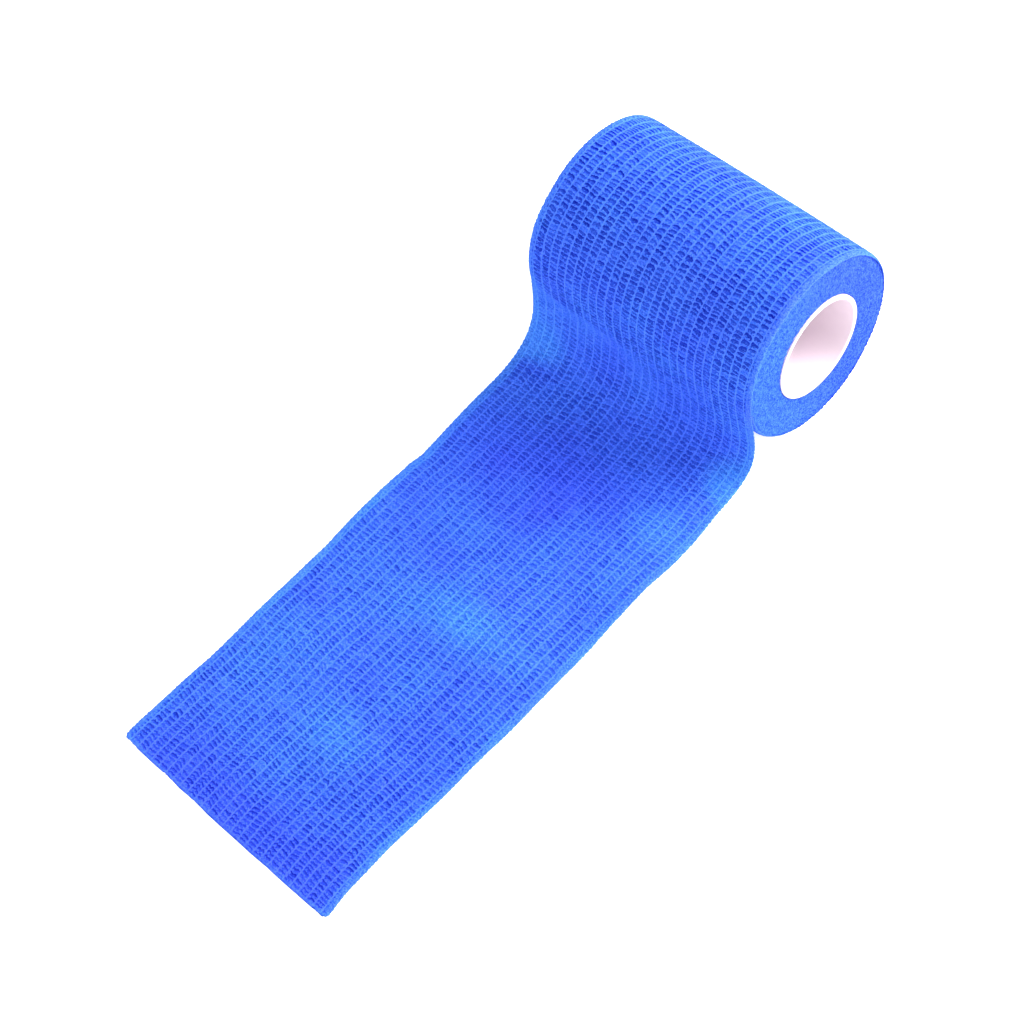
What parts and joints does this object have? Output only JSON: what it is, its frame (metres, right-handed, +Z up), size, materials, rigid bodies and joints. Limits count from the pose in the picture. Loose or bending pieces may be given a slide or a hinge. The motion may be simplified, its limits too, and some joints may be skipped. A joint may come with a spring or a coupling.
{
  "type": "cohesive bandage roll",
  "caption": "Roll of blue crinkled cohesive bandage on a white core tube, lying on its side with its loose end laid out flat.",
  "frame": {"origin": "middle of the roll's flat spot, on the surface it lies on, straight under the roll's axis", "axes": "+X along the roll's axis, +Y away from the loose end, +Z up"},
  "size_m": [0.0776, 0.2172, 0.054],
  "materials": {
    "cloth": "matte, crinkled",
    "core": "smooth satin"
  },
  "bodies": {
    "root": {"bandage": "cloth", "core_tube": "core"}
  },
  "joints": []
}
